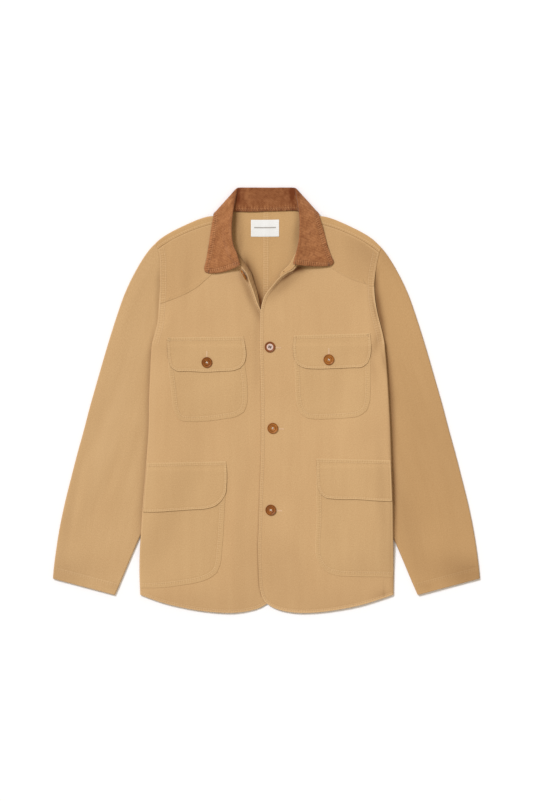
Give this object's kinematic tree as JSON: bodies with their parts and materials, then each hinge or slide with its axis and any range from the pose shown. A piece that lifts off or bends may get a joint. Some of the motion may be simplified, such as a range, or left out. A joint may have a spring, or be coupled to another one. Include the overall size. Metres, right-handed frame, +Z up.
{
  "type": "field jacket",
  "caption": "Canvas field jacket lying flat, front up, with a turned-down collar, flapped chest and hip patch pockets and a buttoned front.",
  "frame": {"origin": "centre of the bounding box in plan, on the surface the jacket lies on", "axes": "+Z up out of the jacket's front, +Y from hem to collar, +X towards the wearer's left sleeve"},
  "size_m": [0.8126, 0.8098, 0.0259],
  "materials": {
    "canvas": "matt cotton canvas, tan",
    "canvas_inside": "matt cotton canvas, tan, inner side and back",
    "collar": "brushed fine-cord cotton, rust brown",
    "label": "woven satin tape, off-white",
    "button": "semi-gloss brown"
  },
  "bodies": {
    "root": {"front_right": "canvas", "front_left": "canvas", "sleeve_right": "canvas", "sleeve_left": "canvas", "yoke_right": "canvas", "yoke_left": "canvas", "chest_pocket_right": "canvas", "chest_pocket_left": "canvas", "chest_flap_right": "canvas", "chest_flap_left": "canvas", "lower_pocket_right": "canvas", "lower_pocket_left": "canvas", "lower_flap_right": "canvas", "lower_flap_left": "canvas", "back_right": "canvas_inside", "back_left": "canvas_inside", "facing_right": "canvas_inside", "facing_left": "canvas_inside", "collar": "collar", "neck_label": "label", "button_front_top": "button", "button_front_middle": "button", "button_front_bottom": "button", "button_chest_right": "button", "button_chest_left": "button", "button_neck": "button"}
  },
  "joints": []
}
